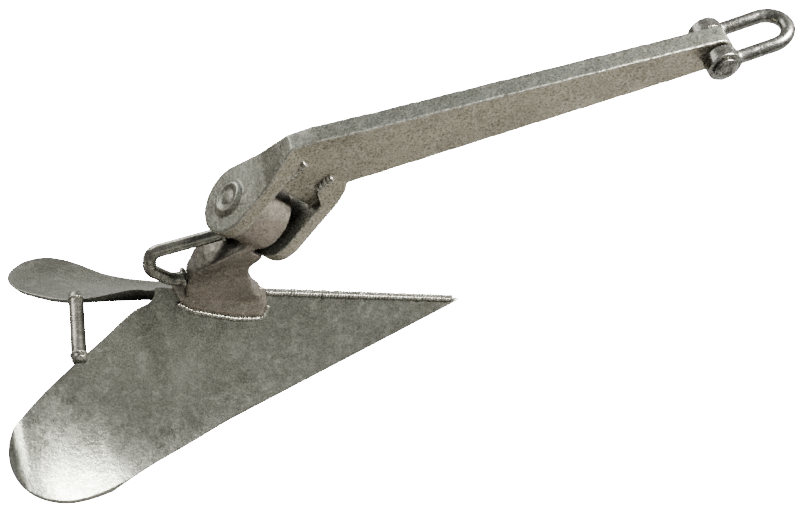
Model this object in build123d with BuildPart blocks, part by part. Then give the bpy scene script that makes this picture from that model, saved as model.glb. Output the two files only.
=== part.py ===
from build123d import *
import os
from math import asin, atan2, cos, degrees, hypot, radians, sin, sqrt

# Hinged plough anchor, millimetres, +X towards the toe and the shackle, +Y to port, +Z up.
# It stands on the point of its toe and the straight leading edges of its mouldboards.

# ---- plough ----
toe_x = 89.4
toe_half = 1.3
ridge_length = 308.0
ridge_rise = 0.4055
lead_spread = 0.3235
plate_t = 5.5
lead_length = 262.0

# ---- hinge ----
hinge_x = -107.6
hinge_z = 202.0
lean_back = 39.6
rest_swing = -1.8
pin_r = 11.0
bore_r = 11.06
head_r = 17.0
head_h = 3.6

# ---- fork ----
fork_half = 36.6
jaw_half = 22.9
ear_r = 33.9
fork_reach = 84.0
web_r = 43.0

# ---- shank ----
shank_t = 20.0
shank_top_z = 42.4
shank_foot_z = -29.1
eye_c = 395.5
eye_a = -178.4
eye_r = 15.1

# ---- shackle ----
bar_r = 6.4
leg_y = 18.8
leg_length = 46.2
shackle_shift = -1.9
shackle_pin_r = 6.0
shackle_hole_r = 6.08
shackle_angle = -26.0

# ---- horn ----
boss_r = 31.0
boss_low = -13.0
boss_high = 22.4
notch_r = 34.6
rod_r = 6.5

# ---- strut ----
strut_r = 7.3
strut_aft = 392.4
strut_z = 88.4
strut_half = 40.0


def unit(v):
    return v * (1 / v.length)


axis_a = Vector(-sin(radians(lean_back)), 0, cos(radians(lean_back)))
axis_c = Vector(cos(radians(lean_back)), 0, sin(radians(lean_back)))
axis_y = Vector(0, 1, 0)
hinge = Vector(hinge_x, 0, hinge_z)
swing = radians(rest_swing)
swung_c = axis_c * cos(swing) + axis_y * sin(swing)
swung_y = axis_y * cos(swing) - axis_c * sin(swing)
hinge_axis = Axis(hinge, axis_a)

# Ear plane looks along the hinge pin, cheek plane looks across the shank.
horn_ring = Plane(origin=hinge, x_dir=axis_c, z_dir=axis_a)
ear_plane = Plane(origin=hinge, x_dir=swung_c, z_dir=axis_a)
cheek_plane = Plane(origin=hinge, x_dir=swung_c, z_dir=swung_y * -1)
shackle_pin_point = hinge + swung_c * eye_c + axis_a * eye_a
pull = swung_c * cos(radians(shackle_angle)) + axis_a * sin(radians(shackle_angle))
shackle_centre = shackle_pin_point + swung_y * shackle_shift
shackle_plane = Plane(origin=shackle_centre, x_dir=pull, z_dir=pull.cross(swung_y))
shackle_pin_plane = Plane(origin=shackle_centre, x_dir=pull, z_dir=swung_y)

os.makedirs("parts", exist_ok=True)


def save(piece, name):
    piece.part.label = name
    export_step(piece.part, "parts/" + name + ".step")


def aft(distance, y, z):
    return Vector(toe_x - distance, y, z)


def ridge_point(distance, lift=0.0):
    return aft(distance, 0, ridge_rise * distance + lift)


# ---------------------------------------------------------------- mouldboards
# The forward part is ruled between the straight ridge and the straight leading edge, the
# aft part between the curved rear edge and the flared leading edge. Each station is:
# distance aft of the toe, (y, z) on the inner edge, (y, z) on the outer edge, hollow.


def straight_station(distance, hollow):
    lift = min(0.0064 * distance, 1.5)
    return (distance, (0, ridge_rise * distance), (lead_spread * distance + toe_half, lift), hollow)


stations = [
    straight_station(1.2, 0.0),
    straight_station(70, 0.0004),
    straight_station(120, 0.0010),
    straight_station(170, 0.0020),
    straight_station(215, 0.0032),
    straight_station(264, 0.0045),
    (292, (0, 118.4), (97.8, 1.2), 0.0058),
    (308, (0, 124.9), (104.0, 0.4), 0.0068),
    (330, (11.5, 115.6), (111.8, 0), 0.0070),
    (348, (18.6, 107.4), (119.2, 0), 0.0066),
    (365, (24.6, 100.2), (127.0, 0.8), 0.0057),
    (381, (30.8, 93.2), (134.8, 3.2), 0.0047),
    (394, (36.8, 88.0), (141.8, 8.0), 0.0039),
    (407, (43.4, 82.8), (147.2, 14.8), 0.0034),
    (419, (50.7, 79.2), (150.4, 21.0), 0.0031),
    (431, (59.3, 75.9), (151.0, 27.6), 0.0028),
    (442, (67.2, 73.2), (148.4, 33.6), 0.0024),
    (453, (76.0, 70.6), (143.4, 39.4), 0.0020),
    (464, (91.0, 67.6), (131.6, 46.4), 0.0014),
    (474, (91.0, 69.6), (130.0, 47.6), 0.0008),
]


def plate_height(station, y):
    distance, (yi, zi), (yo, zo), hollow = station
    along = (y - yi) / (yo - yi)
    return zi + (zo - zi) * along + hollow * (y - yi) * (y - yo)


def plate_slope(station, y):
    distance, (yi, zi), (yo, zo), hollow = station
    return (zo - zi) / (yo - yi) + hollow * (2 * y - yi - yo)


def under(station, y):
    slope = plate_slope(station, y)
    scale = plate_t / hypot(1, slope)
    return (y + slope * scale, plate_height(station, y) - scale)


with BuildPart() as port_mouldboard:
    for station in stations:
        y0 = -6.0
        y2 = station[2][0] + 24
        y1 = (y0 + y2) / 2
        slope0 = plate_slope(station, y0)
        slope2 = plate_slope(station, y2)
        mid_z = plate_height(station, y0) + (y1 - y0) * slope0
        inner0 = under(station, y0)
        inner2 = under(station, y2)
        with BuildSketch(Plane.YZ.offset(toe_x - station[0])):
            with BuildLine():
                Bezier((y0, plate_height(station, y0)), (y1, mid_z), (y2, plate_height(station, y2)))
                Line((y2, plate_height(station, y2)), inner2)
                inner1_y = (inner0[0] + inner2[0]) / 2
                inner1_z = (inner0[1] + inner2[1]) / 2 - (slope2 - slope0) * (inner2[0] - inner0[0]) / 4
                Bezier(inner2, (inner1_y, inner1_z), inner0)
                Line(inner0, (y0, plate_height(station, y0)))
            make_face()
    loft(ruled=True)
    with BuildSketch(Plane.XY):
        with BuildLine():
            Line((toe_x, toe_half), (toe_x - lead_length, toe_half + lead_spread * lead_length))
            Spline(
                (toe_x - lead_length, toe_half + lead_spread * lead_length),
                (toe_x - 308, 104.0),
                (toe_x - 347, 118.8),
                (toe_x - 380, 134.2),
                (toe_x - 406, 146.6),
                (toe_x - 430, 151.2),
                (toe_x - 451, 144.8),
                (toe_x - 465, 130.0),
                (toe_x - 469.6, 111.0),
                (toe_x - 463, 89.2),
                (toe_x - 439.5, 65.6),
                (toe_x - 406, 43.4),
                (toe_x - 359, 23.0),
                (toe_x - 331, 12.2),
                (toe_x - ridge_length, 0),
                tangents=[(-1, lead_spread), (0.6, -0.8)],
            )
            Polyline((toe_x - ridge_length, 0), (toe_x + 0.6, 0), (toe_x, toe_half))
        make_face()
    extrude(amount=200, mode=Mode.INTERSECT)

with BuildPart() as starboard_mouldboard:
    mirror(port_mouldboard.part, about=Plane.XZ)

ridge_run = unit(ridge_point(8) - ridge_point(205))
with BuildPart() as ridge_weld:
    with BuildSketch(Plane(origin=ridge_point(205, 0.8), x_dir=(0, 1, 0), z_dir=ridge_run)):
        Ellipse(3.6, 2.4)
    extrude(amount=(ridge_point(8) - ridge_point(205)).length)

save(port_mouldboard, "port_mouldboard")
save(starboard_mouldboard, "starboard_mouldboard")
save(ridge_weld, "ridge_weld")


# ---------------------------------------------------------------- horn
hinge_aft = toe_x - hinge_x
saddle_fall = 1.5


def horn_xz(dx, z):
    return (hinge_x + dx, z)


with BuildPart() as horn:
    with BuildSketch(Plane.XZ):
        with BuildLine():
            Polyline(
                horn_xz(-88, 84),
                horn_xz(-86, 108),
                horn_xz(-83, 124),
                horn_xz(-77.5, 140),
                horn_xz(-68.5, 153),
                horn_xz(-57, 163),
                horn_xz(-44, 171),
                horn_xz(-28, 181),
                horn_xz(8, 198),
                horn_xz(1, 171),
                horn_xz(-4, 158),
                horn_xz(-10, 148),
                horn_xz(-18, 140),
                horn_xz(-20.5, 128),
                horn_xz(-20.5, 112),
                horn_xz(-19, 100),
                horn_xz(-14, 91),
                horn_xz(-12, 62),
                close=True,
            )
        make_face()
    extrude(amount=26, both=True)
    with BuildSketch(Plane.YZ.offset(hinge_x - 100)):
        with BuildLine():
            Polyline(
                (-10.5, 52), (-10.5, 130), (-13, 146), (-20, 166), (-24, 182), (-24, 209),
                (24, 209), (24, 182), (20, 166), (13, 146), (10.5, 130), (10.5, 52),
                close=True,
            )
        make_face()
    extrude(amount=140, mode=Mode.INTERSECT)
    with BuildSketch(horn_ring.offset(-45)):
        Circle(notch_r)
    extrude(amount=45 + boss_low, mode=Mode.SUBTRACT)
    with BuildSketch(horn_ring.offset(boss_high)):
        Rectangle(140, 90)
    extrude(amount=40, mode=Mode.SUBTRACT)
    with BuildSketch(horn_ring.offset(boss_low)):
        Circle(boss_r)
    extrude(amount=boss_high - boss_low)
    with BuildSketch(horn_ring.offset(-45)):
        Circle(bore_r)
    extrude(amount=90, mode=Mode.SUBTRACT)
    with BuildSketch(Plane.YZ.offset(toe_x)):
        with BuildLine():
            Polyline((0, -4), (40, -4 - 40 * saddle_fall), (40, -140), (-40, -140), (-40, -4 - 40 * saddle_fall), close=True)
        make_face()
    extrude(amount=ridge_length + 60, dir=(-1, 0, ridge_rise), mode=Mode.SUBTRACT)
    add(port_mouldboard.part, mode=Mode.SUBTRACT)
    add(starboard_mouldboard.part, mode=Mode.SUBTRACT)

with BuildPart() as horn_saddle:
    with BuildSketch(Plane.YZ.offset(toe_x)):
        with BuildLine():
            Polyline(
                (0, -5), (19, -5 - 19 * saddle_fall), (19, -17.5), (0, 8), (-19, -17.5), (-19, -5 - 19 * saddle_fall),
                close=True,
            )
        make_face()
    extrude(amount=ridge_length + 20, dir=(-1, 0, ridge_rise))
    with BuildSketch(Plane.XY):
        with BuildLine():
            Polyline(
                horn_xz(-96.5, 0), horn_xz(-92, 10.0), horn_xz(-81, 13.5), horn_xz(-44, 17.4), horn_xz(-16.4, 17.0),
                horn_xz(-9, 8.6), horn_xz(-7.8, 0), horn_xz(-9, -8.6), horn_xz(-16.4, -17.0),
                horn_xz(-44, -17.4), horn_xz(-81, -13.5), horn_xz(-92, -10.0),
                close=True,
            )
        make_face()
    extrude(amount=200, mode=Mode.INTERSECT)
    add(horn.part, mode=Mode.SUBTRACT)
    add(port_mouldboard.part, mode=Mode.SUBTRACT)
    add(starboard_mouldboard.part, mode=Mode.SUBTRACT)

save(horn, "horn")
save(horn_saddle, "horn_saddle")


def bead(points, radius):
    with BuildPart() as weld:
        with BuildLine() as run:
            Polyline(*points)
        with BuildSketch(Plane(origin=run.line @ 0, z_dir=run.line % 0)):
            Circle(radius)
        sweep(transition=Transition.ROUND)
    return weld


def collar(centre, direction, inner_r, radius):
    with BuildPart() as weld:
        with BuildSketch(Plane(origin=centre, x_dir=axis_y.cross(direction), z_dir=axis_y)):
            with Locations((inner_r, 0)):
                Circle(radius)
        revolve(axis=Axis(centre, direction))
    return weld


def on_plate(aft_distance, side, half_width):
    low = ridge_rise * aft_distance - 1.5 * half_width
    return aft(aft_distance, side * half_width, low)


for side, name in ((1, "port"), (-1, "starboard")):
    weld = bead(
        [
            on_plate(292, side, 9.0),
            on_plate(278, side, 13.6),
            on_plate(241, side, 17.2),
            on_plate(214, side, 16.6),
            on_plate(206, side, 8.4),
        ],
        2.2,
    )
    save(weld, name + "_saddle_weld")

# ---------------------------------------------------------------- tripping eye and strut
with BuildPart() as tripping_eye:
    with BuildLine(Plane.XZ) as eye_path:
        FilletPolyline(
            horn_xz(-27, 186.0),
            horn_xz(-105.5, 177.4),
            horn_xz(-111, 154.0),
            horn_xz(-94.5, 132.5),
            horn_xz(-76, 132.0),
            radius=10,
        )
    with BuildSketch(Plane(origin=eye_path.line @ 0, z_dir=eye_path.line % 0)):
        Circle(rod_r)
    sweep()

with BuildPart() as cross_strut:
    with BuildSketch(Plane.XZ.offset(-strut_half)):
        with Locations((toe_x - strut_aft, strut_z)):
            Circle(strut_r)
    extrude(amount=2 * strut_half)

upper_leg = Vector(-1, 0, -0.107)
upper_eye_weld = collar(Vector(hinge_x - 35.5, 0, 185.0), unit(upper_leg), rod_r + 0.8, 2.6)
lower_eye_weld = collar(Vector(hinge_x - 82.5, 0, 132.2), Vector(-1, 0, 0), rod_r + 0.8, 2.6)

save(tripping_eye, "tripping_eye")
save(upper_eye_weld, "upper_eye_weld")
save(lower_eye_weld, "lower_eye_weld")
save(cross_strut, "cross_strut")

for side, name in ((1, "port"), (-1, "starboard")):
    with BuildPart() as strut_weld:
        with BuildSketch(Plane.YZ.offset(toe_x - strut_aft)):
            with Locations((side * 33.8, strut_z + strut_r - 0.6)):
                Circle(2.2)
        revolve(axis=Axis((toe_x - strut_aft, 0, strut_z), (0, 1, 0)))
    save(strut_weld, name + "_strut_weld")

# ---------------------------------------------------------------- shank
top_run = atan2(-0.662, 1)
foot_run = atan2(-0.5305, 1)
eye_top = (eye_c - eye_r * sin(top_run), eye_a + eye_r * cos(top_run))
eye_foot = (eye_c + eye_r * sin(foot_run), eye_a - eye_r * cos(foot_run))

with BuildPart() as shank:
    with BuildSketch(cheek_plane):
        with BuildLine():
            Polyline(
                eye_top,
                (150, 0.3),
                (104, 32.0),
                (fork_reach, shank_top_z),
                (fork_reach, jaw_half),
                (web_r - 6, jaw_half),
                (web_r - 6, -jaw_half),
                (54, -jaw_half),
                (62, -10),
                (fork_reach, -10),
                (fork_reach, shank_foot_z),
                eye_foot,
            )
            ThreePointArc(eye_foot, (eye_c + eye_r * cos(foot_run), eye_a + eye_r * sin(foot_run)), eye_top)
        make_face()
    extrude(amount=shank_t / 2, both=True)
    with BuildSketch(ear_plane.offset(-40)):
        Circle(web_r)
    extrude(amount=80, mode=Mode.SUBTRACT)
    with BuildSketch(cheek_plane):
        with Locations((eye_c, eye_a)):
            Circle(shackle_hole_r)
    extrude(amount=shank_t, both=True, mode=Mode.SUBTRACT)

taper_angle = atan2(shank_t / 2, fork_reach) + radians(90) - asin(ear_r / hypot(fork_reach, shank_t / 2))
taper_point = (ear_r * cos(taper_angle), ear_r * sin(taper_angle))


def fork_arm(low, high, profile):
    with BuildPart() as arm:
        with BuildSketch(ear_plane.offset(low)):
            Circle(ear_r)
            with BuildLine():
                Polyline(
                    taper_point,
                    (fork_reach, shank_t / 2),
                    (fork_reach, -shank_t / 2),
                    (taper_point[0], -taper_point[1]),
                    close=True,
                )
            make_face()
        extrude(amount=high - low)
        with BuildSketch(cheek_plane):
            with BuildLine():
                Polyline(*profile, close=True)
            make_face()
        extrude(amount=40, both=True, mode=Mode.INTERSECT)
        with BuildSketch(ear_plane.offset(-60)):
            Circle(pin_r)
        extrude(amount=120, mode=Mode.SUBTRACT)
    return arm


upper_fork_arm = fork_arm(
    jaw_half,
    shank_top_z + 2,
    [
        (-40, jaw_half), (fork_reach, jaw_half), (fork_reach, shank_top_z),
        (66, 40.2), (46, 37.2), (34, fork_half), (-40, fork_half),
    ],
)
lower_fork_arm = fork_arm(
    -fork_half,
    -10,
    [
        (-40, -fork_half), (64, -fork_half), (78, -33.5), (fork_reach, shank_foot_z), (fork_reach, -10.2),
        (61.9, -10.2), (53.9, -jaw_half), (-40, -jaw_half),
    ],
)

with BuildPart() as hinge_pin:
    with BuildSketch(cheek_plane):
        with BuildLine():
            Polyline(
                (0, -fork_half - head_h - 1.2),
                (9, -fork_half - head_h),
                (14, -fork_half - 2.2),
                (head_r, -fork_half),
                (pin_r, -fork_half),
                (pin_r, fork_half),
                (head_r, fork_half),
                (14, fork_half + 2.2),
                (9, fork_half + head_h),
                (0, fork_half + head_h + 1.2),
                close=True,
            )
        make_face()
    revolve(axis=hinge_axis)


def fork_point(c, y, a):
    return hinge + swung_c * c + swung_y * y + axis_a * a


for side, name in ((1, "port"), (-1, "starboard")):
    flank = side * (shank_t / 2 + 0.6)
    upper = bead([fork_point(46, flank, jaw_half - 1.4), fork_point(81, flank, jaw_half - 1.4)], 2.8)
    save(upper, name + "_upper_arm_weld")
    lower = bead([fork_point(63, flank, -11.0), fork_point(82, flank, -11.0)], 2.8)
    save(lower, name + "_lower_arm_weld")

save(shank, "shank")
save(upper_fork_arm, "upper_fork_arm")
save(lower_fork_arm, "lower_fork_arm")
save(hinge_pin, "hinge_pin")

# ---------------------------------------------------------------- shackle
with BuildPart() as shackle_bow:
    with BuildLine(shackle_plane) as bow_path:
        Line((8, leg_y), (leg_length, leg_y))
        ThreePointArc((leg_length, leg_y), (leg_length + leg_y, 0), (leg_length, -leg_y))
        Line((leg_length, -leg_y), (8, -leg_y))
    with BuildSketch(Plane(origin=bow_path.line @ 0, z_dir=bow_path.line % 0)):
        Circle(bar_r)
    sweep()
    for side in (1, -1):
        with BuildSketch(shackle_pin_plane.offset(side * leg_y)):
            Circle(eye_r)
        extrude(amount=bar_r, both=True)
    with BuildSketch(shackle_pin_plane):
        Circle(shackle_pin_r)
    extrude(amount=60, both=True, mode=Mode.SUBTRACT)

with BuildPart() as shackle_pin:
    with BuildSketch(shackle_plane):
        with BuildLine():
            Polyline(
                (0, -leg_y - bar_r - 3.2),
                (3.6, -leg_y - bar_r - 3.2),
                (5.2, -leg_y - bar_r - 4.6),
                (8.2, -leg_y - bar_r - 4.2),
                (10.6, -leg_y - bar_r - 2.2),
                (10.6, -leg_y - bar_r),
                (shackle_pin_r, -leg_y - bar_r),
                (shackle_pin_r, leg_y + bar_r + 1.0),
                (4.8, leg_y + bar_r + 2.2),
                (0, leg_y + bar_r + 2.2),
                close=True,
            )
        make_face()
    revolve(axis=Axis(shackle_centre, swung_y))

save(shackle_bow, "shackle_bow")
save(shackle_pin, "shackle_pin")
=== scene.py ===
import math

import bpy
import numpy as np
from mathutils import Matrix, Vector, noise


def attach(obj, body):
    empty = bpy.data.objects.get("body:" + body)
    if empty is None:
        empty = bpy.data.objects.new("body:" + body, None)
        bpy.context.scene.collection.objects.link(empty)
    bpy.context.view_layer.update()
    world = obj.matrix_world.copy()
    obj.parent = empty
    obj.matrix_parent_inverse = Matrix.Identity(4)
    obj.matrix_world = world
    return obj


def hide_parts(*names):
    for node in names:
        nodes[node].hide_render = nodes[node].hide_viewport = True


# A hinged plough anchor in hot-dip galvanised steel, metres, +X towards the toe and the
# shackle, +Z up. Its pieces are skins grown from the frame or built here from their sections.

MM = 0.001
LUMPS_PER_METRE = 70
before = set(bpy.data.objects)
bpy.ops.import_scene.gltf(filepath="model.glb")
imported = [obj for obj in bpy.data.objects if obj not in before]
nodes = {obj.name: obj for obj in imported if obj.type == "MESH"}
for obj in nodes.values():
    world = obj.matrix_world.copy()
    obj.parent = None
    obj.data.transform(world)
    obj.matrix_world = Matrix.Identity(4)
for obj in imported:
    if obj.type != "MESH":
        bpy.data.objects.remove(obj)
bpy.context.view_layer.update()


# ---------------------------------------------------------------- materials
def linear(r, g, b):
    """An sRGB colour from 0 to 255 as the linear colour a shader takes."""
    out = []
    for c in (r, g, b):
        c = c / 255
        out.append(c / 12.92 if c < 0.04045 else ((c + 0.055) / 1.055) ** 2.4)
    return (*out, 1.0)


class Tree:
    """A short way to write a material's nodes."""

    def __init__(self, name):
        self.material = bpy.data.materials.new(name)
        self.material.use_nodes = True
        self.tree = self.material.node_tree
        self.tree.nodes.clear()

    def node(self, kind, **settings):
        n = self.tree.nodes.new(kind)
        for key, value in settings.items():
            setattr(n, key, value)
        return n

    def link(self, a, b):
        self.tree.links.new(a, b)

    def noise(self, vector, scale, detail=4.0, roughness=0.55, distortion=0.0):
        n = self.node("ShaderNodeTexNoise")
        n.inputs["Scale"].default_value = scale
        n.inputs["Detail"].default_value = detail
        n.inputs["Roughness"].default_value = roughness
        n.inputs["Distortion"].default_value = distortion
        self.link(vector, n.inputs["Vector"])
        return n.outputs["Fac"]

    def remap(self, value, low, high, to_low=0.0, to_high=1.0):
        n = self.node("ShaderNodeMapRange", clamp=True)
        n.inputs["From Min"].default_value = low
        n.inputs["From Max"].default_value = high
        n.inputs["To Min"].default_value = to_low
        n.inputs["To Max"].default_value = to_high
        self.link(value, n.inputs["Value"])
        return n.outputs["Result"]

    def mix(self, factor, a, b):
        n = self.node("ShaderNodeMix", data_type="RGBA")
        # Sockets 0, 6 and 7 are the factor and the two colours of a colour mix.
        for index, value in ((0, factor), (6, a), (7, b)):
            if isinstance(value, (tuple, float)):
                n.inputs[index].default_value = value
            else:
                self.link(value, n.inputs[index])
        return n.outputs[2]

    def math(self, operation, a, b):
        n = self.node("ShaderNodeMath", operation=operation)
        for socket, value in ((n.inputs[0], a), (n.inputs[1], b)):
            if isinstance(value, float):
                socket.default_value = value
            else:
                self.link(value, socket)
        return n.outputs[0]


def zinc(
    name, side, top, dark, bright, metallic, rough, patches=1.0, grain=1.0, wear=1.0, relief=1.0
):
    """Galvanised steel. Its colours are for its sides, its top faces, its stains and its sheen; the
    side and top colours are painted light, tinting faces by how they face the sky.
    """
    t = Tree(name)
    where = t.node("ShaderNodeTexCoord")
    place = where.outputs["Object"]
    facing = t.node("ShaderNodeSeparateXYZ")
    t.link(where.outputs["Normal"], facing.inputs["Vector"])
    # Painted light: faces turned up take the top colour, as if lit by the sky, and the others take
    # the side colour.
    painted_top_light = t.remap(facing.outputs["Z"], 0.25, 0.9)
    colour = t.mix(painted_top_light, linear(*side), linear(*top))
    # Broad stains, then brighter splashes.
    cloud = t.remap(t.noise(place, 26.0, 5.0, 0.6, 0.4), 0.36, 0.64)
    colour = t.mix(t.math("MULTIPLY", cloud, 0.6 * patches), colour, linear(*dark))
    splash = t.remap(t.noise(place, 92.0, 6.0, 0.65, 0.8), 0.52, 0.7)
    colour = t.mix(t.math("MULTIPLY", splash, 0.4 * patches), colour, linear(*bright))
    # Bright grain, then dark specks, which are sparser on the top faces.
    salt = t.remap(t.noise(place, 620.0, 3.0, 0.7), 0.38, 0.66)
    colour = t.mix(t.math("MULTIPLY", salt, 0.36 * grain), colour, linear(*bright))
    pepper = t.remap(t.noise(place, 560.0, 4.0, 0.7), 0.50, 0.66)
    pepper = t.math("MULTIPLY", pepper, t.remap(facing.outputs["Z"], 0.3, 0.9, 1.0, 0.45))
    colour = t.mix(t.math("MULTIPLY", pepper, 0.75 * grain), colour, linear(*dark))
    # Worn bright edges, then painted shade in creases and in sheltered places.
    shape = t.node("ShaderNodeNewGeometry")
    edge = t.remap(shape.outputs["Pointiness"], 0.508, 0.55)
    ragged = t.remap(t.noise(place, 240.0, 4.0, 0.6), 0.35, 0.6)
    edge = t.math("MULTIPLY", edge, ragged)
    colour = t.mix(t.math("MULTIPLY", edge, 0.5 * wear), colour, linear(196, 194, 182))
    # Painted shade: concave creases are darkened toward near black.
    painted_crease_shade = t.remap(shape.outputs["Pointiness"], 0.49, 0.42)
    colour = t.mix(t.math("MULTIPLY", painted_crease_shade, 0.7), colour, linear(38, 35, 31))
    # Painted shade: places that ambient occlusion finds sheltered are darkened to near black.
    shelter = t.node("ShaderNodeAmbientOcclusion", samples=6)
    shelter.inputs["Distance"].default_value = 0.035
    painted_shelter_shade = t.remap(shelter.outputs["AO"], 0.5, 0.12)
    colour = t.mix(t.math("MULTIPLY", painted_shelter_shade, 0.85), colour, linear(24, 22, 19))

    shader = t.node("ShaderNodeBsdfPrincipled")
    shader.inputs["Metallic"].default_value = metallic
    t.link(colour, shader.inputs["Base Color"])
    sheen = t.math("MULTIPLY_ADD", t.noise(place, 130.0, 5.0, 0.6), 0.28)
    sheen.node.inputs[2].default_value = rough - 0.14
    t.link(sheen, shader.inputs["Roughness"])
    height = t.math("ADD", t.noise(place, 300.0, 5.0, 0.6), t.noise(place, 60.0, 3.0, 0.5))
    bump = t.node("ShaderNodeBump")
    bump.inputs["Strength"].default_value = 0.5 * relief
    bump.inputs["Distance"].default_value = 0.0006
    t.link(height, bump.inputs["Height"])
    t.link(bump.outputs["Normal"], shader.inputs["Normal"])
    out = t.node("ShaderNodeOutputMaterial")
    t.link(shader.outputs["BSDF"], out.inputs["Surface"])
    return t.material


# In each material, the first two colours (side, top) differ as painted light: the top faces are
# tinted as if lit from above.
plate_steel = zinc(
    "plate_zinc", (114, 113, 101), (118, 120, 110), (74, 72, 62), (182, 182, 168), 0.91, 0.31
)
shank_zinc = zinc(
    "shank_zinc", (134, 127, 107), (82, 90, 84), (62, 56, 43), (190, 186, 170), 0.87, 0.36,
    patches=0.8, grain=1.25,
)
cast_zinc = zinc(
    "cast_zinc", (128, 117, 103), (98, 96, 86), (66, 58, 49), (160, 154, 141), 0.84, 0.38,
    relief=1.3,
)
bar_zinc = zinc(
    "bar_zinc", (66, 66, 57), (142, 140, 126), (38, 37, 30), (200, 196, 180), 0.94, 0.28
)
shackle_zinc = zinc(
    "shackle_zinc", (68, 66, 60), (104, 102, 94), (34, 32, 28), (196, 194, 184), 0.94, 0.28
)
weld_zinc = zinc(
    "weld_zinc", (112, 106, 90), (112, 112, 100), (48, 42, 33), (200, 196, 180), 0.86, 0.32,
    wear=1.2, relief=1.4,
)


# ---------------------------------------------------------------- building
def piece(name, verts, faces, body, material, stands_for):
    """A smooth mesh that rides on a body and stands for some of the frame's nodes."""
    mesh = bpy.data.meshes.new(name)
    mesh.from_pydata([tuple(v) for v in verts], [], [tuple(f) for f in faces])
    mesh.update()
    mesh.materials.append(material)
    mesh.shade_smooth()
    obj = bpy.data.objects.new(name, mesh)
    bpy.context.scene.collection.objects.link(obj)
    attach(obj, body)
    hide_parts(*stands_for)


def grid_faces(rows, cols, closed=False):
    """Faces over a grid of vertices, which may close on itself across its columns."""
    out = []
    for i in range(rows - 1):
        for j in range(cols if closed else cols - 1):
            a = i * cols + j
            b = i * cols + (j + 1) % cols
            out.append((a, b, b + cols, a + cols))
    return out


def baked(obj):
    """The object's mesh with its modifiers applied, as arrays of vertices and faces."""
    bpy.context.view_layer.update()
    shaped = obj.evaluated_get(bpy.context.evaluated_depsgraph_get()).to_mesh()
    verts = np.zeros(len(shaped.vertices) * 3)
    shaped.vertices.foreach_get("co", verts)
    faces = [tuple(p.vertices) for p in shaped.polygons]
    return verts.reshape(-1, 3), faces


def skin(name, sources, body, material, voxel, smooth, lumps, shape=None):
    """One skin over several solids, with soft corners where they meet.

    voxel is its grid and lumps its unevenness, both in millimetres. shape may move its vertices.
    """
    verts = []
    faces = []
    for source in sources:
        start = len(verts)
        data = nodes[source].data
        verts += [tuple(v.co) for v in data.vertices]
        faces += [tuple(start + i for i in p.vertices) for p in data.polygons]
    mesh = bpy.data.meshes.new(name + "_core")
    mesh.from_pydata(verts, [], faces)
    core = bpy.data.objects.new(name + "_core", mesh)
    bpy.context.scene.collection.objects.link(core)
    remesh = core.modifiers.new("grow", "REMESH")
    remesh.mode = "VOXEL"
    remesh.voxel_size = voxel * MM
    soften = core.modifiers.new("soften", "SMOOTH")
    soften.factor = 0.5
    soften.iterations = smooth
    new_verts, new_faces = baked(core)
    bpy.data.objects.remove(core)
    if shape:
        new_verts = shape(new_verts)
    for v in new_verts:
        at = Vector(v) * LUMPS_PER_METRE
        push = noise.noise(at) + 0.5 * noise.noise(at * 2.7)
        side = noise.noise_vector(at * 0.6)
        v += np.array(side) * (lumps * MM * push)
    piece(name, new_verts, new_faces, body, material, sources)


def unit(v):
    v = np.asarray(v, float)
    return v / np.linalg.norm(v)


def resample(points, step):
    points = np.asarray(points, float)
    lengths = np.linalg.norm(np.diff(points, axis=0), axis=1)
    along = np.concatenate([[0], np.cumsum(lengths)])
    count = max(2, int(along[-1] / step) + 1)
    want = np.linspace(0, along[-1], count)
    return np.stack([np.interp(want, along, points[:, k]) for k in range(3)], 1), want


def rounded(points, radius, steps=10):
    """A path with its corners turned into arcs."""
    points = [np.asarray(p, float) for p in points]
    out = [points[0]]
    for before, corner, after in zip(points, points[1:], points[2:]):
        a = unit(before - corner)
        b = unit(after - corner)
        half = math.acos(np.clip(a @ b, -1, 1)) / 2
        reach = min(radius / math.tan(half), 0.48 * np.linalg.norm(after - corner))
        reach = min(reach, 0.48 * np.linalg.norm(before - corner))
        size = reach * math.tan(half)
        centre = corner + unit(a + b) * size / math.sin(half)
        start = corner + a * reach - centre
        end = corner + b * reach - centre
        for k in range(steps + 1):
            turn = k / steps
            out.append(centre + unit(start * (1 - turn) + end * turn) * size)
    out.append(points[-1])
    return np.array(out)


def tube(path, step, sides, radius_at, closed=False):
    """A tube along a path in millimetres. radius_at(length, angle, outwards) gives its radius."""
    line, along = resample(path, step)
    if closed:
        line = line[:-1]
        along = along[:-1]
        tangent = np.roll(line, -1, 0) - np.roll(line, 1, 0)
    else:
        tangent = np.gradient(line, axis=0)
    tangent /= np.linalg.norm(tangent, axis=1)[:, None]
    side = unit(np.cross(tangent[0], (0.123, 0.456, 0.88)))
    verts = []
    for p, t, s in zip(line, tangent, along):
        side = unit(side - t * (side @ t))
        over = np.cross(t, side)
        for k in range(sides):
            angle = 2 * math.pi * k / sides
            out = side * math.cos(angle) + over * math.sin(angle)
            verts.append((p + out * radius_at(s, angle, out)) * MM)
    rows = len(line)
    faces = grid_faces(rows, sides, closed=True)
    if closed:
        last = (rows - 1) * sides
        faces += [(last + j, last + (j + 1) % sides, (j + 1) % sides, j) for j in range(sides)]
    else:
        faces.append(tuple(reversed(range(sides))))
        faces.append(tuple(range((rows - 1) * sides, rows * sides)))
    return verts, faces


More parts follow.
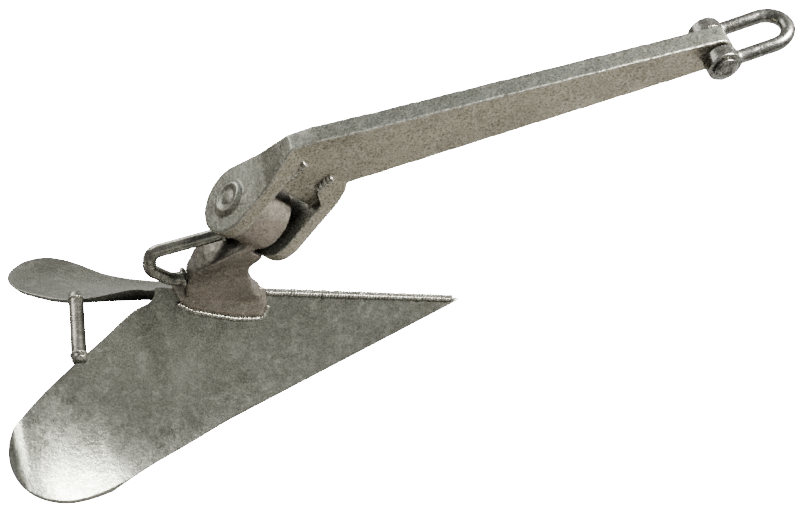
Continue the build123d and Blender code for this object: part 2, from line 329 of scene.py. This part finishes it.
def ripple(radius, seed):
    """The radius of a hand-laid weld bead: overlapping scales with an uneven edge."""
    pitch = 4.6
    depth = 0.12

    def at(s, angle, out):
        drift = 0.2 * noise.noise(Vector((s * 0.2, seed, 0)))
        crest = (s / pitch + 0.16 * math.cos(angle * 2) + drift) % 1.0
        scale = 1 - depth + depth * 1.6 * math.sin(math.pi * min(1.0, crest * 1.15)) ** 0.6
        lump = noise.noise(Vector((s * 0.13, seed * 3.1, angle * 0.5)))
        fine = noise.noise(Vector((s * 0.9, seed * 1.7, angle * 1.6)))
        return radius * (scale + 0.16 * lump + 0.07 * fine)

    return at


# ---------------------------------------------------------------- mouldboards
# All of these are millimetres. Distances are aft of the toe.
TOE = 89.4
TOE_HALF = 1.3
PLATE = 5.5
THINNEST = 0.25
RISE = 0.4055
SPREAD = 0.3235
LEAD = 262
RIDGE = 308
TAIL = 469.6
TAIL_ROUND = 430
EDGE_RADIUS = 1.5
EDGE_STEPS = np.array([0, 0.12, 0.35, 0.7, 1.1, 1.6])
COLUMNS = 34
NARROW = 8


def straight(d, hollow):
    """A station on the forward part, between the straight ridge and the straight leading edge."""
    return (d, 0, RISE * d, SPREAD * d + TOE_HALF, min(0.0064 * d, 1.5), hollow)


# Distance, inner y and z, outer y and z, hollow.
stations = np.array([
    straight(0, 0.0),
    straight(70, 0.0004),
    straight(120, 0.0010),
    straight(170, 0.0020),
    straight(215, 0.0032),
    straight(264, 0.0045),
    (292, 0, 118.4, 97.8, 1.2, 0.0058),
    (308, 0, 124.9, 104.0, 0.4, 0.0068),
    (330, 11.5, 115.6, 111.8, 0, 0.0070),
    (348, 18.6, 107.4, 119.2, 0, 0.0066),
    (365, 24.6, 100.2, 127.0, 0.8, 0.0057),
    (381, 30.8, 93.2, 134.8, 3.2, 0.0047),
    (394, 36.8, 88.0, 141.8, 8.0, 0.0039),
    (407, 43.4, 82.8, 147.2, 14.8, 0.0034),
    (419, 50.7, 79.2, 150.4, 21.0, 0.0031),
    (431, 59.3, 75.9, 151.0, 27.6, 0.0028),
    (442, 67.2, 73.2, 148.4, 33.6, 0.0024),
    (453, 76.0, 70.6, 143.4, 39.4, 0.0020),
    (464, 91.0, 67.6, 131.6, 46.4, 0.0014),
    (474, 91.0, 69.6, 130.0, 47.6, 0.0008),
])
# The outline from above, as (distance, y), from the leading edge round the tail to the ridge.
outline = [
    (262, 86.06), (308, 104.0), (347, 118.8), (380, 134.2), (406, 146.6), (430, 151.2),
    (451, 144.8), (465, 130.0), (469.6, 111.0), (463, 89.2), (439.5, 65.6), (406, 43.4),
    (359, 23.0), (331, 12.2), (308, 0),
]


def curve(points, start, end, count):
    """A smooth curve through the points with set directions at its ends."""
    p = np.array(points, float)
    h = np.linalg.norm(np.diff(p, axis=0), axis=1)
    n = len(p)
    system = np.zeros((n, n))
    right = np.zeros((n, 2))
    system[0, 0] = system[-1, -1] = 1
    right[0] = unit(start)
    right[-1] = unit(end)
    for i in range(1, n - 1):
        system[i, i - 1] = h[i]
        system[i, i] = 2 * (h[i] + h[i - 1])
        system[i, i + 1] = h[i - 1]
        right[i] = 3 * (h[i] * (p[i] - p[i - 1]) / h[i - 1] + h[i - 1] * (p[i + 1] - p[i]) / h[i])
    slope = np.linalg.solve(system, right)
    out = []
    for i in range(n - 1):
        for u in np.linspace(0, 1, count, endpoint=False):
            out.append(
                (2 * u**3 - 3 * u**2 + 1) * p[i] + (u**3 - 2 * u**2 + u) * h[i] * slope[i]
                + (3 * u**2 - 2 * u**3) * p[i + 1] + (u**3 - u**2) * h[i] * slope[i + 1]
            )
    out.append(p[-1])
    return np.array(out)


def steady(xs, ys, x):
    """Smooth interpolation that never overshoots its points."""
    h = np.diff(xs)
    d = np.diff(ys) / h
    m = np.zeros(len(xs))
    for i in range(1, len(xs) - 1):
        if d[i - 1] * d[i] > 0:
            w1 = 2 * h[i] + h[i - 1]
            w2 = h[i] + 2 * h[i - 1]
            m[i] = (w1 + w2) / (w1 / d[i - 1] + w2 / d[i])
    m[0] = d[0]
    m[-1] = d[-1]
    i = np.clip(np.searchsorted(xs, x) - 1, 0, len(h) - 1)
    u = (x - xs[i]) / h[i]
    return (
        (2 * u**3 - 3 * u**2 + 1) * ys[i] + (u**3 - 2 * u**2 + u) * h[i] * m[i]
        + (3 * u**2 - 2 * u**3) * ys[i + 1] + (u**3 - u**2) * h[i] * m[i + 1]
    )


rim = curve(outline, (1, SPREAD), (-0.6, -0.8), 24)
widest = int(np.argmax(rim[:, 0]))
rim[widest, 0] = TAIL
outer_side = rim[: widest + 1]
inner_side = rim[widest:][::-1]


def edges(d):
    """The inner and outer y of a mouldboard at a distance aft of the toe."""
    low_y = 0.0 if d <= RIDGE else float(np.interp(d, inner_side[:, 0], inner_side[:, 1]))
    if d <= LEAD:
        return low_y, SPREAD * d + TOE_HALF
    return low_y, float(np.interp(d, outer_side[:, 0], outer_side[:, 1]))


def section(d):
    """One section across a mouldboard: y, the outer z, the inner z and how far its edges are cut."""
    low_y, high_y = edges(d)
    width = max(high_y - low_y, 0.01)
    band = EDGE_STEPS * min(1.0, width / NARROW)
    inset = 2.4 * width / max(width, NARROW)
    across = np.linspace(low_y + inset, high_y - inset, COLUMNS)
    ys = np.concatenate([low_y + band, across, high_y - band[::-1]])
    yi, zi, yo, zo, hollow = (
        float(steady(stations[:, 0], stations[:, k], d)) for k in range(1, 6)
    )
    slope = (zo - zi) / (yo - yi) + hollow * (2 * ys - yi - yo)
    z = zi + (zo - zi) * (ys - yi) / (yo - yi) + hollow * (ys - yi) * (ys - yo)
    under = np.maximum(z - PLATE * np.sqrt(1 + slope**2), 0.0)
    z = np.maximum(z, under + THINNEST)

    # The plates meet at the ridge, so only the free edges are rounded.
    from_low = (ys - low_y) * 0.75 if d > RIDGE else np.full(len(ys), 99.0)
    gap = np.minimum(from_low, high_y - ys)
    if d > TAIL_ROUND:
        gap = np.minimum(gap, TAIL - d)
    radius = np.minimum(EDGE_RADIUS, (z - under) * 0.45)
    shy = np.clip(radius - gap, 0, None)
    cut = radius - np.sqrt(np.maximum(radius**2 - shy**2, 0))
    return ys, z, under, cut


def hammered(x, y, z):
    """The outer face's z with its slow waves, which fade at the toe and the ridge."""
    wave = 0.35 * noise.noise(Vector((x, y, z)) * 0.018)
    fade = min(1.0, (TOE - x) / 60) if abs(y) > 3 else 0.0
    return z + wave * fade


def mouldboard(name, side, node):
    fore = np.concatenate([np.linspace(0.4, 6, 5), np.linspace(10, 392, 110)])
    tail = TAIL - np.linspace(math.sqrt(TAIL - 395), 0, 52) ** 2
    rows = np.concatenate([fore, tail])
    outer = []
    inner = []
    for d in rows:
        x = TOE - d
        for y, top, under, cut in zip(*section(d)):
            outer.append((x, side * y, hammered(x, side * y, top - cut)))
            inner.append((x, side * y, under + cut if under > 0 else under))
    verts = [np.array(v) * MM for v in outer + inner]
    cols = COLUMNS + 2 * len(EDGE_STEPS)
    count = len(rows)
    total = count * cols
    faces = grid_faces(count, cols)
    faces += [tuple(reversed([i + total for i in f])) for f in grid_faces(count, cols)]
    for i in range(count - 1):
        a = i * cols
        b = a + cols - 1
        faces.append((a + cols, a + cols + total, a + total, a))
        faces.append((b, b + total, b + cols + total, b + cols))
    for j in range(cols - 1):
        e = (count - 1) * cols + j
        faces.append((j, j + total, j + 1 + total, j + 1))
        faces.append((e + 1, e + 1 + total, e + total, e))
    if side < 0:
        faces = [tuple(reversed(f)) for f in faces]
    piece(name, verts, faces, "plough", plate_steel, [node])


mouldboard("port_board", 1, "port_mouldboard")
mouldboard("starboard_board", -1, "starboard_mouldboard")


# ---------------------------------------------------------------- castings and forgings
# The hinge pin leans back along axis_a; the shank lies along swung_c, a little off centre.
HINGE_X = -107.6
LEAN = math.radians(39.6)
SWING = math.radians(-1.8)
EAR_TOP = 36.7
hinge = np.array((HINGE_X, 0, 202.0))
axis_a = np.array((-math.sin(LEAN), 0, math.cos(LEAN)))
axis_c = np.array((math.cos(LEAN), 0, math.sin(LEAN)))
axis_y = np.array((0.0, 1.0, 0.0))
swung_c = axis_c * math.cos(SWING) + axis_y * math.sin(SWING)
swung_y = axis_y * math.cos(SWING) - axis_c * math.sin(SWING)


def fork_point(c, y, a):
    return hinge + swung_c * c + swung_y * y + axis_a * a


def riveted_head(verts):
    """Turns the pin's head into a hammered ring round a shallow dish."""
    place = verts / MM - hinge
    along = place @ axis_a
    radius = np.linalg.norm(place - along[:, None] * axis_a, axis=1)
    on_head = (along > EAR_TOP - 0.5) & (radius < 18.5)
    ring_r = np.array([0, 3.5, 6.5, 8.5, 10.5, 13.2, 15.2, 17.0, 18.5])
    ring_h = np.array([2.5, 2.4, 2.0, 1.9, 2.5, 3.3, 2.6, 0.5, 0.0])
    wanted = EAR_TOP + np.interp(radius, ring_r, ring_h)
    shift = np.where(on_head, wanted - along, 0.0)
    return verts + shift[:, None] * axis_a * MM


skin("horn_casting", ["horn", "horn_saddle"], "plough", cast_zinc, 1.1, 26, lumps=1.1)
skin(
    "shank_forging", ["shank", "upper_fork_arm", "lower_fork_arm", "hinge_pin"],
    "shank", shank_zinc, 1.1, 6, lumps=0.4, shape=riveted_head,
)
skin("bow_forging", ["shackle_bow"], "shackle", shackle_zinc, 0.7, 5, lumps=0.3)
skin("pin_forging", ["shackle_pin"], "shackle", shackle_zinc, 0.45, 4, lumps=0.15)


# ---------------------------------------------------------------- bars
BAR_SIDES = 28
EYE_ROD = 6.5
EYE_BEND = 13.0
STRUT_ROD = 7.3
STRUT_HALF = 40
STRUT_X = TOE - 392.4
STRUT_Z = 88.4


def at_horn(dx, z):
    return (HINGE_X + dx, 0.0, z)


eye_line = rounded(
    [
        at_horn(-27, 186),
        at_horn(-105.5, 177.4),
        at_horn(-111, 154),
        at_horn(-94.5, 132.5),
        at_horn(-76, 132),
    ],
    EYE_BEND,
)


def rolled(radius, seed):
    """The radius of a rolled bar, which is never quite round or straight."""

    def at(s, angle, out):
        return radius * (1 + 0.03 * noise.noise(Vector((s * 0.06, seed, angle * 0.4))))

    return at


verts, faces = tube(eye_line, 1.2, BAR_SIDES, rolled(EYE_ROD, 2.0))
piece("eye_bar", verts, faces, "plough", bar_zinc, ["tripping_eye"])

strut_ends = [(STRUT_X, -STRUT_HALF, STRUT_Z), (STRUT_X, STRUT_HALF, STRUT_Z)]
verts, faces = tube(strut_ends, 1.6, BAR_SIDES, rolled(STRUT_ROD, 5.0))
piece("strut_bar", verts, faces, "plough", bar_zinc, ["cross_strut"])


# ---------------------------------------------------------------- welds
def weld(name, path, radius, body, node, seed, closed=False):
    verts, faces = tube(path, 0.45, 16, ripple(radius, seed), closed)
    piece(name, verts, faces, body, weld_zinc, [node])


def on_plate(d, side, half):
    """Where the saddle's edge meets a mouldboard, half its width from the ridge."""
    return (TOE - d, side * half, RISE * d - 1.5 * half)


def ring(centre, direction, radius):
    """The centre line of a weld that runs round a bar."""
    t = unit(direction)
    u = unit(np.cross(t, (0.0, 1.0, 0.001)))
    v = np.cross(t, u)
    turns = np.linspace(0, 2 * math.pi, 73)
    centre = np.asarray(centre)
    return np.array([centre + radius * (u * math.cos(k) + v * math.sin(k)) for k in turns])


for side, word in ((1, "port"), (-1, "starboard")):
    saddle_edge = rounded(
        [
            on_plate(292, side, 9),
            on_plate(278, side, 13.6),
            on_plate(241, side, 17.2),
            on_plate(214, side, 16.6),
            on_plate(206, side, 8.4),
        ],
        6.0,
    )
    weld(word + "_saddle_bead", saddle_edge, 2.2, "plough", word + "_saddle_weld", 7.0 + side)
    round_strut = ring((STRUT_X, side * 33.8, STRUT_Z), (0, 1, 0), 7.0)
    weld(word + "_strut_bead", round_strut, 1.6, "plough", word + "_strut_weld", 11.0 + side, True)

upper_ring = ring(at_horn(-35.5, 185.0), (-1, 0, -0.107), 7.3)
lower_ring = ring(at_horn(-82.5, 132.2), (-1, 0, 0), 7.3)
weld("upper_eye_bead", upper_ring, 2.7, "plough", "upper_eye_weld", 15.0, True)
weld("lower_eye_bead", lower_ring, 2.7, "plough", "lower_eye_weld", 17.0, True)


def ridge_radius(s, angle, out):
    """A flat run of weld along the ridge, ragged where it meets the plates."""
    across = abs(out[1])
    base = 2.0 + 1.9 * across**1.5
    ragged = noise.noise(Vector((s * 0.12, 3.0, math.copysign(2.0, out[1]))))
    fine = noise.noise(Vector((s * 0.5, 9.0, math.copysign(4.0, out[1]))))
    scales = 0.10 * math.sin(2 * math.pi * s / 3.4 + 2.5 * across)
    return base * (1 + scales) + across * (1.1 * ragged + 0.7 * fine)


ridge_line = [(TOE - d, 0, RISE * d + 0.6) for d in (205, 8)]
verts, faces = tube(ridge_line, 0.55, 20, ridge_radius)
piece("ridge_bead", verts, faces, "plough", weld_zinc, ["ridge_weld"])

for side, word in ((1, "port"), (-1, "starboard")):
    for arm, start, end, a, seed in (("upper", 46, 81, 21.5, 21.0), ("lower", 63, 82, -11, 25.0)):
        line = [fork_point(c, side * 10.6, a) for c in (start, end)]
        weld(f"{word}_{arm}_arm_bead", line, 3.9, "shank", f"{word}_{arm}_arm_weld", seed + side)


# ---------------------------------------------------------------- stage
def floor_material():
    """Nearly white to the camera, and a dull grey to the anchor that stands on it."""
    t = Tree("pale_floor")
    path = t.node("ShaderNodeLightPath")
    white = t.node("ShaderNodeEmission")
    white.inputs["Color"].default_value = (1, 1, 1, 1)
    white.inputs["Strength"].default_value = 60.0
    matt = t.node("ShaderNodeBsdfDiffuse")
    matt.inputs["Color"].default_value = (0.20, 0.20, 0.195, 1)
    mixed = t.node("ShaderNodeMixShader")
    t.link(t.math("MULTIPLY", path.outputs["Is Camera Ray"], 0.9), mixed.inputs["Fac"])
    t.link(matt.outputs["BSDF"], mixed.inputs[1])
    t.link(white.outputs["Emission"], mixed.inputs[2])
    out = t.node("ShaderNodeOutputMaterial")
    t.link(mixed.outputs["Shader"], out.inputs["Surface"])
    return t.material


floor_mesh = bpy.data.meshes.new("floor")
floor_half = 6.0
floor_z = -0.0006
corners = ((-1, -1), (1, -1), (1, 1), (-1, 1))
floor_mesh.from_pydata(
    [(x * floor_half, y * floor_half, floor_z) for x, y in corners], [], [(0, 1, 2, 3)]
)
floor_mesh.materials.append(floor_material())
floor = bpy.data.objects.new("floor", floor_mesh)
bpy.context.scene.collection.objects.link(floor)


def studio():
    """A dim sky, darker overhead, with a white backdrop that only the camera sees."""
    world = bpy.data.worlds.new("studio")
    world.use_nodes = True
    tree = world.node_tree
    tree.nodes.clear()
    coord = tree.nodes.new("ShaderNodeTexCoord")
    split = tree.nodes.new("ShaderNodeSeparateXYZ")
    ramp = tree.nodes.new("ShaderNodeValToRGB")
    low, high = ramp.color_ramp.elements
    low.position = 0.0
    low.color = (0.95, 0.95, 0.93, 1)
    high.position = 0.9
    high.color = (0.34, 0.37, 0.40, 1)
    ramp.color_ramp.elements.new(0.35).color = (0.80, 0.81, 0.81, 1)
    sky = tree.nodes.new("ShaderNodeBackground")
    sky.inputs["Strength"].default_value = 0.36
    backdrop = tree.nodes.new("ShaderNodeBackground")
    backdrop.inputs["Color"].default_value = (1, 1, 1, 1)
    backdrop.inputs["Strength"].default_value = 54.0
    path = tree.nodes.new("ShaderNodeLightPath")
    either = tree.nodes.new("ShaderNodeMixShader")
    out = tree.nodes.new("ShaderNodeOutputWorld")
    tree.links.new(coord.outputs["Generated"], split.inputs["Vector"])
    tree.links.new(split.outputs["Z"], ramp.inputs["Fac"])
    tree.links.new(ramp.outputs["Color"], sky.inputs["Color"])
    tree.links.new(path.outputs["Is Camera Ray"], either.inputs["Fac"])
    tree.links.new(sky.outputs["Background"], either.inputs[1])
    tree.links.new(backdrop.outputs["Background"], either.inputs[2])
    tree.links.new(either.outputs["Shader"], out.inputs["Surface"])
    return world


bpy.context.scene.world = studio()


def soft_light(name, direction, distance, width, height, power):
    """An area light in that direction from the middle of the anchor, turned to face it."""
    data = bpy.data.lights.new(name, "AREA")
    data.shape = "RECTANGLE"
    data.size = width
    data.size_y = height
    data.energy = power
    lamp = bpy.data.objects.new(name, data)
    towards = Vector(direction).normalized()
    lamp.location = Vector((-0.05, 0, 0.12)) + towards * distance
    lamp.rotation_euler = towards.to_track_quat("Z", "Y").to_euler()
    bpy.context.scene.collection.objects.link(lamp)


soft_light("key", (0.665, -0.08, 0.743), 1.5, 0.5, 0.6, 160)
soft_light("back", (-0.45, 0.75, 0.45), 1.9, 1.4, 0.8, 26)
soft_light("fill", (-0.2, -0.95, 0.35), 2.2, 1.6, 1.0, 4)

view = bpy.data.cameras.new("view")
view.sensor_width = 36.0
view.lens = 46.092
view.dof.use_dof = False
camera = bpy.data.objects.new("view", view)
camera.location = (-0.11276, -0.63534, 0.91610)
camera.rotation_euler = (math.radians(38.4275), math.radians(1.2439), math.radians(-13.7461))
bpy.context.scene.collection.objects.link(camera)
bpy.context.scene.camera = camera
